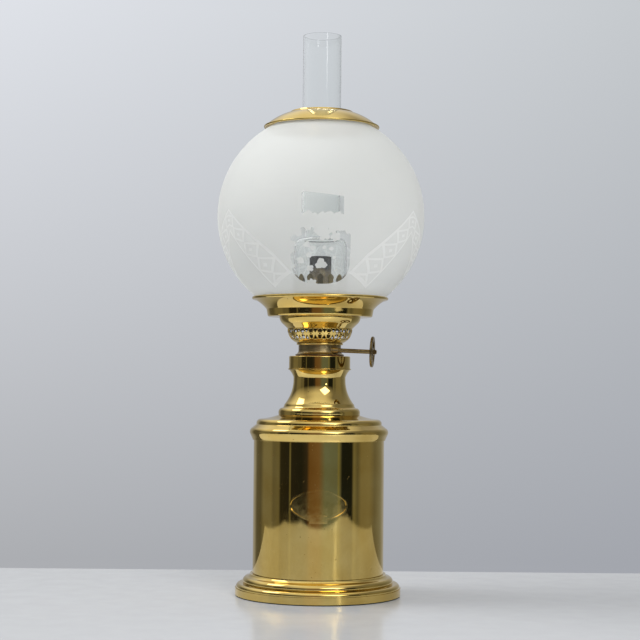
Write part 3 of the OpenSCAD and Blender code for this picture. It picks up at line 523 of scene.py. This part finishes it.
BEAD_POINTS = 14
bead_radius = BEAD_HEIGHT / 2
bead_middle = basket_radius(BASKET_LOW.z + BEAD_HEIGHT) - bead_radius / 2
bead_level = BASKET_LOW.z + bead_radius
bead_turns = [math.pi * (count / (BEAD_POINTS - 1) - 0.5) for count in range(BEAD_POINTS)]
bead = [(bead_middle + bead_radius * math.cos(turned), bead_level + bead_radius * math.sin(turned))
        for turned in bead_turns]
basket_floor = [(bead_middle - bead_radius, BASKET_LOW.z + BEAD_HEIGHT),
                (bead_middle - bead_radius, BASKET_LOW.z + BASKET_WALL),
                (BASKET_LIP, BASKET_LOW.z + BASKET_WALL),
                (BASKET_LIP, BASKET_LOW.z)]
ring("basket_foot", bead + basket_floor, mirror_brass, "burner", "polished_brass")

rim_radius = basket_radius(BASKET_HIGH.z) - BASKET_WALL / 2
ledge = [(LEDGE_RADIUS, BASKET_HIGH.z - BASKET_WALL),
         (rim_radius, BASKET_HIGH.z - BASKET_WALL),
         (rim_radius, BASKET_HIGH.z),
         (LEDGE_RADIUS, BASKET_HIGH.z)]
# The ledge at the bowl's top gets the painted shade too.
ring("basket_ledge", ledge, painted_inside_shade, "burner", "polished_brass")

gallery_brass = polished("smoked brass", GALLERY_BRIGHT, GALLERY_DEEP,
                         smoothest=0.28, roughest=0.42, line_depth=0.000006)
smooth_copy("pronged_gallery", "chimney_gallery", gallery_brass, "burner", "plain_brass")
smooth_copy("pierced_deck", "draught_deck", gallery_brass, "burner", "plain_brass")


# Wick raiser
# The spindle with its two toothed wheels that feed the wick, and outside on the right the pierced
# thumbwheel and its nut, all dull with age.

DULL_BRIGHT = (0.30, 0.23, 0.11, 1.0)
DULL_DEEP = (0.16, 0.12, 0.06, 1.0)
dull_brass = polished("dull brass", DULL_BRIGHT, DULL_DEEP,
                      smoothest=0.26, roughest=0.42, line_depth=0.000004)
smooth_copy("spindle_shaft", "raiser_spindle", dull_brass, "raiser", "dull_brass")
smooth_copy("toothed_wheels", "raiser_wheels", dull_brass, "raiser", "dull_brass")
smooth_copy("pierced_thumbwheel", "thumbwheel", dull_brass, "raiser", "dull_brass")
smooth_copy("wheel_nut", "thumbwheel_nut", dull_brass, "raiser", "dull_brass")


# Shade holder
# A flared brass cup that stands on the basket, and the wide ring with its rolled rim that the ball shade
# sits in. Both are spun and polished, and lift off together.

spun_brass("flared_cup", "holder_cup", mirror_brass, "shade_holder")
spun_brass("shade_ring", "globe_ring", mirror_brass, "shade_holder")


# Ball shade
# Blown glass, satin etched outside. Three clear windows with vine leaves hanging in them are left in the
# etching, so the wick tube and the chimney show through the front one. Lozenge garlands climb between the
# windows; they are painted paler and less see-through than the etching, a painted highlight for their glint.

GLOBE_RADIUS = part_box("globe")[1].x
TOP_EDGE_RADIUS = 0.0465
GLOBE_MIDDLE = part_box("globe")[1].z - math.sqrt(GLOBE_RADIUS ** 2 - TOP_EDGE_RADIUS ** 2)
GLOBE_WALL = 0.0026
GLOBE_STEPS = 420
ORNAMENT_TOP = 0.396
FINE_ROW = 0.0011
COARSE_ROW = 0.0035
REPEATS = 3
# The clear window, in millimetres. Its round foot hangs below the waist, and above the step it is narrower
# up to its slanting top.
WINDOW_HALF = 28.5
WINDOW_WAIST = 331.0
WINDOW_DROP = 32.0
WINDOW_ROUND = 2.7
WINDOW_TOP = 388.3
WINDOW_SLANT = 0.106
WINDOW_STEP = 362.0
TOP_HALF = 20.0
TOP_MIDDLE = 1.7
FIELD_REACH = 3.0
FROST_COLOUR = (0.940, 0.945, 0.925, 1.0)
FROST_CLOUD = (0.915, 0.925, 0.900, 1.0)
GLASS_TINT = (0.985, 0.99, 0.987, 1.0)
GLASS_SHINE = 0.035
GLASS_SHINE_POWER = 5.0
GLASS_ROUGHNESS = 0.02
FROST_THROUGH = 0.60
FROST_OPEN = 0.15
FROST_ROUGHNESS = 0.5
FROST_GRAIN = 1800.0
FROST_GRAIN_DEPTH = 0.00003
FROST_CLOUDS = 12.0
ETCH_EDGE_LOW = 0.48
ETCH_EDGE_HIGH = 0.52
LEAF_BODY = 0.50
LEAF_LOBES = 0.42
LEAF_TEETH = 0.14
LOBE_ROUND = 0.8
TEETH_PER_LOBE = 1.5
TEETH_TURN = 0.6

# Across, height, size, turn and lobes of each vine leaf that hangs in a window, in millimetres and degrees.
LEAVES = [
    (-26, 357, 11, 20, 5), (-14, 363, 10, 70, 5), (-1, 361, 11, 10, 6), (12, 362, 11, 50, 5),
    (25, 361, 11, 0, 5), (3, 350, 6.5, 30, 5), (-13, 340.5, 3.6, 80, 3), (-31, 340, 8.5, 15, 5),
    (-30, 322, 6, 60, 5), (0.5, 323, 6, 95, 3), (-8, 306, 5, 35, 6), (-19, 326, 4, 55, 4),
    (32, 331, 5, 25, 5), (27, 302, 4, 70, 4), (14, 348, 5, 40, 5), (-11, 331, 3.2, 20, 5),
    (-24, 304, 4.5, 0, 5), (12, 304, 3.4, 20, 5), (-7.5, 337.5, 2.8, 0, 4), (3.5, 338, 2.3, 50, 5),
    (10, 337, 2.5, 10, 4), (13, 329, 2.2, 0, 3), (-10, 319, 4, 40, 4),
]

# A garland: where it starts and how it climbs round the ball, in radians and metres, and its lines and
# dots, in shares of its half width.
GARLAND_START = math.radians(29)
GARLAND_LOW = 0.308
GARLAND_RISE = 0.110
GARLAND_FOOT = 0.024
GARLAND_TIP = 0.010
GARLAND_SPAN = math.radians(31)
GARLAND_CELL = math.radians(7.75)
GARLAND_SKEW = 6.6
GARLAND_END = 0.025
# Painted highlight: the garlands' lines and dots are whiter and less see-through than the frost, for the
# glint of their cut lines; the fill between them gets a share of it.
GARLAND_FILL = 0.35
GARLAND_HIGHLIGHT = (0.985, 0.990, 0.975, 1.0)
LINE_HALF = 0.15
LOZENGE_REACH = 0.9
BORDER_HALF = 0.09
BAND_EDGE = 1.1
DOT_HALF = 0.24


def over_globe(across, height, point):
    """Millimetres across and up the glass from a place on the front to a point of the globe."""
    level = math.asin((height / 1000 - GLOBE_MIDDLE) / GLOBE_RADIUS)
    middle = math.asin(across / 1000 / (GLOBE_RADIUS * math.cos(level)))
    lift = math.asin(max(-1.0, min(1.0, (point.z - GLOBE_MIDDLE) / GLOBE_RADIUS)))
    share = math.tau / REPEATS
    turn = (math.atan2(point.x, -point.y) - middle + share / 2) % share - share / 2
    return turn * GLOBE_RADIUS * math.cos(lift) * 1000, (lift - level) * GLOBE_RADIUS * 1000


def leaf_depth(point, across, height, size, turn, lobes):
    """How far inside a ragged leaf the point lies, in millimetres; less than nothing outside it."""
    aside, up = over_globe(across, height, point)
    angle = math.atan2(up, aside) - math.radians(turn)
    lobe = abs(math.cos(angle * lobes / 2)) ** LOBE_ROUND
    teeth = abs(math.sin(angle * lobes * TEETH_PER_LOBE + TEETH_TURN))
    return size * (LEAF_BODY + LEAF_LOBES * lobe + LEAF_TEETH * teeth) - math.hypot(aside, up)


def window_depth(point):
    """How far inside the clear window the point lies, in millimetres."""
    aside, up = over_globe(0, WINDOW_WAIST, point)
    height = point.z * 1000
    if up < 0:
        out = abs(aside / WINDOW_HALF) ** WINDOW_ROUND + abs(up / WINDOW_DROP) ** WINDOW_ROUND
        return (1 - out ** (1 / WINDOW_ROUND)) * WINDOW_HALF
    side = WINDOW_HALF - abs(aside) if height < WINDOW_STEP else TOP_HALF - abs(aside - TOP_MIDDLE)
    return min(side, WINDOW_TOP - WINDOW_SLANT * aside - height)


def etching(point):
    """1 in the etched glass and 0 in the clear, with a slope between for a crisp outline."""
    opening = window_depth(point)
    leaves = [leaf_depth(point, *leaf) for leaf in LEAVES] if opening > -FIELD_REACH else [0.0]
    frost = max(-opening, max(leaves))
    return max(0.0, min(1.0, 0.5 + frost / (2 * FIELD_REACH)))


def mix_shaders(tree, share, first, second):
    """A shader between two shader nodes."""
    return add(tree, "ShaderNodeMixShader", {0: share, 1: first.outputs[0], 2: second.outputs[0]})


def clear_sheet(tree):
    """Thin clear glass: see-through, with a reflection that grows towards the edge."""
    through = add(tree, "ShaderNodeBsdfTransparent", {"Color": GLASS_TINT})
    gloss = add(tree, "ShaderNodeBsdfGlossy", {"Roughness": GLASS_ROUGHNESS})
    tilt = add(tree, "ShaderNodeLayerWeight", {"Blend": 0.5}).outputs["Facing"]
    steep = maths(tree, "POWER", tilt, GLASS_SHINE_POWER)
    shine = maths(tree, "MULTIPLY_ADD", steep, 1.0 - GLASS_SHINE, GLASS_SHINE)
    return mix_shaders(tree, shine, through, gloss)


def garlands(tree, where):
    """How pale the glass is painted in the lozenge garlands, a painted highlight for their glint; they climb
    from the foot of each window to a peak halfway to the next one: 1 on their lines and dots, less between
    them, and nothing elsewhere."""
    split = add(tree, "ShaderNodeSeparateXYZ", {"Vector": where})
    turn = maths(tree, "ARCTAN2", split.outputs["X"], maths(tree, "MULTIPLY", split.outputs["Y"], -1.0))
    share = math.tau / REPEATS
    folded = maths(tree, "ABSOLUTE", maths(tree, "WRAP", turn, share / 2, -share / 2))
    along = maths(tree, "SUBTRACT", folded, GARLAND_START)
    middle = maths(tree, "MULTIPLY_ADD", along, GARLAND_RISE, GARLAND_LOW)
    half = spread(tree, along, 0.0, GARLAND_SPAN, GARLAND_FOOT, GARLAND_TIP)
    above = maths(tree, "SUBTRACT", split.outputs["Z"], middle)
    climbed = maths(tree, "MULTIPLY_ADD", above, GARLAND_SKEW, along)
    off = maths(tree, "DIVIDE", maths(tree, "ABSOLUTE", above), half)
    step = maths(tree, "PINGPONG", maths(tree, "DIVIDE", climbed, GARLAND_CELL / 2), 1.0)
    reach = maths(tree, "ADD", off, step)
    line = maths(tree, "COMPARE", reach, LOZENGE_REACH, LINE_HALF)
    border = maths(tree, "COMPARE", off, 1.0, BORDER_HALF)
    dot = maths(tree, "LESS_THAN", reach, DOT_HALF)
    end = maths(tree, "LESS_THAN", climbed, GARLAND_END)
    pale = maths(tree, "MAXIMUM", maths(tree, "MAXIMUM", line, border), maths(tree, "MAXIMUM", dot, end))
    pale = maths(tree, "MAXIMUM", pale, GARLAND_FILL)
    started = maths(tree, "GREATER_THAN", climbed, 0.0)
    inside = maths(tree, "MULTIPLY", started, maths(tree, "LESS_THAN", off, BAND_EDGE))
    return maths(tree, "MULTIPLY", pale, inside)


def etched_glass():
    """Frosted glass that lets the light glow through, clear where the piece's etched value is low."""
    material, tree, shader = new_material("satin etched glass")
    where = place(tree)
    grain = noise(tree, where, FROST_GRAIN, detail=2.0)
    clouds = noise(tree, where, FROST_CLOUDS, detail=3.0)
    shader.inputs["Roughness"].default_value = FROST_ROUGHNESS
    satin = blend_colours(tree, spread(tree, clouds, NOISE_LOW, NOISE_HIGH), FROST_COLOUR, FROST_CLOUD)
    # The garlands are painted whiter and less see-through: a painted highlight.
    pale = garlands(tree, where)
    feed(tree, shader, Normal=bump(tree, grain, FROST_GRAIN_DEPTH),
         Base_Color=blend_colours(tree, pale, satin, GARLAND_HIGHLIGHT))
    glow_colour = blend_colours(tree, pale, FROST_COLOUR, GARLAND_HIGHLIGHT)
    glow = add(tree, "ShaderNodeBsdfTranslucent", {"Color": glow_colour})
    frost = mix_shaders(tree, FROST_THROUGH, shader, glow)
    through = add(tree, "ShaderNodeBsdfTransparent", {})
    frost = mix_shaders(tree, spread(tree, pale, 0.0, 1.0, FROST_OPEN, 0.0), frost, through)
    etched = add(tree, "ShaderNodeAttribute", {}, attribute_name="etched").outputs["Fac"]
    edge = spread(tree, etched, ETCH_EDGE_LOW, ETCH_EDGE_HIGH)
    mixed = mix_shaders(tree, edge, clear_sheet(tree), frost)
    tree.links.new(mixed.outputs[0], tree.nodes["Material Output"].inputs["Surface"])
    return material


def is_outer(point):
    """True on the outside of the ball, where the etching is."""
    return (point - Vector((0, 0, GLOBE_MIDDLE))).length > GLOBE_RADIUS - GLOBE_WALL / 2


globe_mesh = outline_of("globe")
for edge in globe_mesh.edges[:]:
    if all(is_outer(vert.co) for vert in edge.verts):
        row = FINE_ROW if edge.verts[0].co.z < ORNAMENT_TOP else COARSE_ROW
        cuts = math.ceil(edge.calc_length() / row) - 1
        bmesh.ops.subdivide_edges(globe_mesh, edges=[edge], cuts=cuts)
spun(globe_mesh, GLOBE_STEPS)
layer = globe_mesh.verts.layers.float.new("etched")
for vert in globe_mesh.verts:
    if is_outer(vert.co):
        vert[layer] = etching(vert.co) if vert.co.z < ORNAMENT_TOP else 1.0
shade(globe_mesh)
piece("ball_shade", globe_mesh, etched_glass(), "shade", "frosted_glass", "globe")


# Cap and locating ring
# The spun brass ring on top of the shade, wide open for the chimney, and the satin ring inside that centres
# it in the shade's top opening.

spun_brass("brass_cap", "globe_cap", mirror_brass, "cap")
spun_brass("centring_ring", "cap_locating_ring", satin_brass, "cap", slot="plain_brass")


# Chimney
# Clear blown glass with a wide foot, a waist and a long straight tube. It stands in the gallery's prongs and
# rises out of the shade.

CHIMNEY_TINT = (0.985, 0.995, 0.99, 1.0)
CHIMNEY_IOR = 1.47


def clear_glass():
    """Smooth glass that bends the light."""
    material, tree, shader = new_material("clear blown glass")
    shader.inputs["Base Color"].default_value = CHIMNEY_TINT
    shader.inputs["Roughness"].default_value = 0.0
    shader.inputs["IOR"].default_value = CHIMNEY_IOR
    shader.inputs["Transmission Weight"].default_value = 1.0
    return material


chimney_mesh = outline_of("chimney")
spun(chimney_mesh, SPIN_STEPS)
shade(chimney_mesh)
piece("glass_chimney", chimney_mesh, clear_glass(), "chimney_body", "clear_glass", "chimney")


# Table, wall and light
# A pale, slightly glossy table in front of a pale wall, two soft lamps in front on the right and high on the
# left, and the dim room that the brass reflects.

TABLE_FRONT = -0.83
TABLE_BACK = 0.20
TABLE_SIDE = 0.80
TABLE_CORNER_LEFT = 0.35
TABLE_CORNER_RIGHT = 0.16
TABLE_SMEARS = 40.0
TABLE_CLOUDS = 6.0
TABLE_SMOOTHEST = 0.15
TABLE_ROUGHEST = 0.20
TABLE_COLOUR = (0.56, 0.57, 0.59, 1.0)
TABLE_SHADE = (0.54, 0.55, 0.57, 1.0)


def table_finish():
    """A pale coating with faint clouds and smears."""
    material, tree, shader = new_material("pale table top")
    where = place(tree)
    smears = noise(tree, where, TABLE_SMEARS)
    feed(tree, shader,
         Roughness=spread(tree, smears, NOISE_LOW, NOISE_HIGH, TABLE_SMOOTHEST, TABLE_ROUGHEST),
         Base_Color=blend_colours(tree, noise(tree, where, TABLE_CLOUDS), TABLE_COLOUR, TABLE_SHADE))
    return material


table_corners = [
    (-TABLE_SIDE, TABLE_FRONT + TABLE_CORNER_LEFT, 0), (TABLE_CORNER_LEFT - TABLE_SIDE, TABLE_FRONT, 0),
    (TABLE_SIDE - TABLE_CORNER_RIGHT, TABLE_FRONT, 0), (TABLE_SIDE, TABLE_FRONT + TABLE_CORNER_RIGHT, 0),
    (TABLE_SIDE, TABLE_BACK, 0), (-TABLE_SIDE, TABLE_BACK, 0),
]
bm = bmesh.new()
bm.faces.new([bm.verts.new(corner) for corner in table_corners])
table_mesh = bpy.data.meshes.new("table")
bm.to_mesh(table_mesh)
bm.free()
table_mesh.materials.append(table_finish())
table = bpy.data.objects.new("table", table_mesh)
bpy.context.scene.collection.objects.link(table)

# The wall, as a colour of the world behind the lamp: its four corners, and how far they lie from the middle.
# Painted light: the wall is brighter at the upper left and darker towards the bottom and the right.
WALL_HIGH_LEFT = (0.737, 0.760, 0.807, 1.0)
WALL_HIGH_RIGHT = (0.565, 0.591, 0.617, 1.0)
WALL_LOW_LEFT = (0.413, 0.423, 0.445, 1.0)
WALL_LOW_RIGHT = (0.366, 0.381, 0.418, 1.0)
WALL_SIDE = 0.195
WALL_BOTTOM = -0.11
WALL_TOP = 0.229
# The daylight on the lamp, dimmer in front on the right and brighter behind on the left.
LIGHT_IN_FRONT = (0.46, 0.46, 0.46, 1.0)
LIGHT_BEHIND = (0.82, 0.83, 0.83, 1.0)
WINDOW_TO_LEFT = -0.5
DIMMEST_WAY = -0.6
BRIGHTEST_WAY = 0.8
LAMP_GLOW = (4.0, 4.0, 4.0, 1.0)
STAND_GLOW = (4.5, 4.5, 4.5, 1.0)
# What the brass reflects. A way's upward part tells where the room near the horizon gives way to the upper
# room, and that to the ceiling; both rooms go by degrees round from the camera.
UPPER_START = 0.28
UPPER_FULL = 0.62
CEILING_START = 0.74
CEILING_FULL = 0.95
ROOM = [
    (-180, (0.42, 0.43, 0.45)), (-150, (0.30, 0.31, 0.31)), (-138, (0.11, 0.11, 0.10)),
    (-122, (0.10, 0.10, 0.09)), (-112, (0.19, 0.19, 0.17)), (-92, (0.19, 0.19, 0.17)),
    (-86, (0.13, 0.13, 0.12)), (-74, (0.15, 0.15, 0.13)), (-70, (0.025, 0.025, 0.022)),
    (-53, (0.020, 0.020, 0.020)), (-51, (0.20, 0.20, 0.14)), (-49, (0.020, 0.020, 0.020)),
    (-30, (0.016, 0.018, 0.020)), (-20, (0.035, 0.030, 0.030)), (-16, (0.14, 0.085, 0.045)),
    (0, (0.17, 0.11, 0.07)), (6, (0.15, 0.14, 0.12)), (11, (0.14, 0.18, 0.20)),
    (32, (0.13, 0.16, 0.17)), (35, (0.20, 0.21, 0.12)), (38, (0.10, 0.11, 0.10)),
    (41, (0.012, 0.015, 0.018)), (60, (0.012, 0.014, 0.014)), (64, (0.18, 0.18, 0.14)),
    (72, (0.11, 0.11, 0.09)), (80, (0.20, 0.19, 0.15)), (100, (0.21, 0.20, 0.16)),
    (116, (0.15, 0.15, 0.14)), (140, (0.22, 0.23, 0.22)), (155, (0.34, 0.35, 0.36)),
    (180, (0.42, 0.43, 0.45)),
]
UPPER_ROOM = [
    (-180, (0.90, 0.91, 0.92)), (-110, (0.90, 0.90, 0.90)), (-60, (0.45, 0.45, 0.45)),
    (-20, (0.76, 0.76, 0.75)), (30, (0.76, 0.76, 0.75)), (65, (0.20, 0.20, 0.20)),
    (110, (0.20, 0.20, 0.20)), (150, (0.35, 0.35, 0.36)), (180, (0.90, 0.91, 0.92)),
]
CEILING = (0.92, 0.92, 0.92, 1.0)


def round_about(tree, angle, stops):
    """A colour by the angle round the room."""
    ramp = add(tree, "ShaderNodeValToRGB", {"Fac": spread(tree, angle, -math.pi, math.pi)})
    elements = ramp.color_ramp.elements
    while len(elements) < len(stops):
        elements.new(0.5)
    for element, (degrees, colour) in zip(elements, stops):
        element.position = (degrees + 180) / 360
        element.color = (*colour, 1.0)
    return ramp.outputs["Color"]


# Each lamp as brass and glass reflect it: degrees round from the camera, degrees up, and half its width and
# height.
FRONT_LAMP_FACE = (25.0, 31.0, 0.40, 0.24)
LEFT_LAMP_FACE = (-97.0, 50.0, 0.30, 0.26)
LAMP_STAND_FACE = (30.0, 12.2, 0.08, 0.050)
LAMP_BLUR = 0.75
LEAST_DEPTH = 0.001


def lamp_face(tree, way, degrees_round, degrees_up, half_wide, half_high):
    """1 where the way meets the lamp's diamond-shaped face, with a soft edge."""
    turned, raised = math.radians(degrees_round), math.radians(degrees_up)
    aim = Vector((math.sin(turned) * math.cos(raised), -math.cos(turned) * math.cos(raised),
                  math.sin(raised)))
    side = aim.cross((0, 0, 1)).normalized()
    towards, sideways, upwards = [
        add(tree, "ShaderNodeVectorMath", {0: way, 1: axis}, operation="DOT_PRODUCT").outputs["Value"]
        for axis in (aim, side, side.cross(aim))]
    depth = maths(tree, "MAXIMUM", towards, LEAST_DEPTH)
    shares = [
        maths(tree, "DIVIDE", maths(tree, "ABSOLUTE", off), maths(tree, "MULTIPLY", depth, half))
        for off, half in ((sideways, half_wide), (upwards, half_high))]
    return spread(tree, maths(tree, "ADD", *shares), 1.0, LAMP_BLUR)


world = bpy.data.worlds.new("studio")
bpy.context.scene.world = world
world.use_nodes = True
tree = world.node_tree
background = tree.nodes["Background"]
way = add(tree, "ShaderNodeTexCoord", {}).outputs["Generated"]
part = add(tree, "ShaderNodeSeparateXYZ", {"Vector": way})
turn = maths(tree, "ARCTAN2", part.outputs["X"], maths(tree, "MULTIPLY", part.outputs["Y"], -1.0))
room = blend_colours(tree, spread(tree, part.outputs["Z"], UPPER_START, UPPER_FULL),
                     round_about(tree, turn, ROOM), round_about(tree, turn, UPPER_ROOM))
room = blend_colours(tree, spread(tree, part.outputs["Z"], CEILING_START, CEILING_FULL), room, CEILING)
for face, glow in ((FRONT_LAMP_FACE, LAMP_GLOW), (LEFT_LAMP_FACE, LAMP_GLOW), (LAMP_STAND_FACE, STAND_GLOW)):
    room = blend_colours(tree, lamp_face(tree, way, *face), room, glow)
across = spread(tree, part.outputs["X"], -WALL_SIDE, WALL_SIDE)
wall = blend_colours(tree, spread(tree, part.outputs["Z"], WALL_BOTTOM, WALL_TOP),
                     blend_colours(tree, across, WALL_LOW_LEFT, WALL_LOW_RIGHT),
                     blend_colours(tree, across, WALL_HIGH_LEFT, WALL_HIGH_RIGHT))
path = add(tree, "ShaderNodeLightPath", {})
seen = maths(tree, "MAXIMUM", path.outputs["Is Camera Ray"], path.outputs["Is Transmission Ray"])
towards_window = maths(tree, "MULTIPLY_ADD", part.outputs["X"], WINDOW_TO_LEFT, part.outputs["Y"])
daylight = blend_colours(tree, spread(tree, towards_window, DIMMEST_WAY, BRIGHTEST_WAY),
                         LIGHT_IN_FRONT, LIGHT_BEHIND)
lit = blend_colours(tree, path.outputs["Is Glossy Ray"], daylight, room)
tree.links.new(blend_colours(tree, seen, lit, wall), background.inputs["Color"])

LAMP_AIM = Vector((0, 0, 0.25))


def soft_lamp(name, stands_at, size, power):
    """A square lamp that lights the object; its reflection comes from the world's lamp faces."""
    data = bpy.data.lights.new(name, "AREA")
    data.size = size
    data.energy = power
    ob = bpy.data.objects.new(name, data)
    bpy.context.scene.collection.objects.link(ob)
    ob.location = stands_at
    ob.rotation_euler = (LAMP_AIM - Vector(stands_at)).to_track_quat("-Z", "Y").to_euler()
    ob.visible_camera = False
    ob.visible_glossy = False


soft_lamp("front lamp", stands_at=(0.72, -1.55, 1.33), size=0.8, power=22)
soft_lamp("left lamp", stands_at=(-1.27, 0.10, 1.73), size=0.9, power=27)


# Camera
# A metre and a half in front and level with the neck, as the photograph was taken. It looks slightly up and
# leans a little.

CAMERA_LENS = 89.2
CAMERA_AT = (0.0, -1.585, 0.2123)
CAMERA_TILT = math.radians(92.2)
CAMERA_LEAN = math.radians(0.5)
camera_data = bpy.data.cameras.new("camera")
camera_data.lens = CAMERA_LENS
camera_data.sensor_width = 36.0
camera = bpy.data.objects.new("camera", camera_data)
bpy.context.scene.collection.objects.link(camera)
camera.location = CAMERA_AT
camera.rotation_euler = (CAMERA_TILT, 0.0, 0.0)
camera.rotation_euler.rotate_axis("Z", CAMERA_LEAN)
bpy.context.scene.camera = camera
bpy.context.scene.view_settings.view_transform = "Standard"
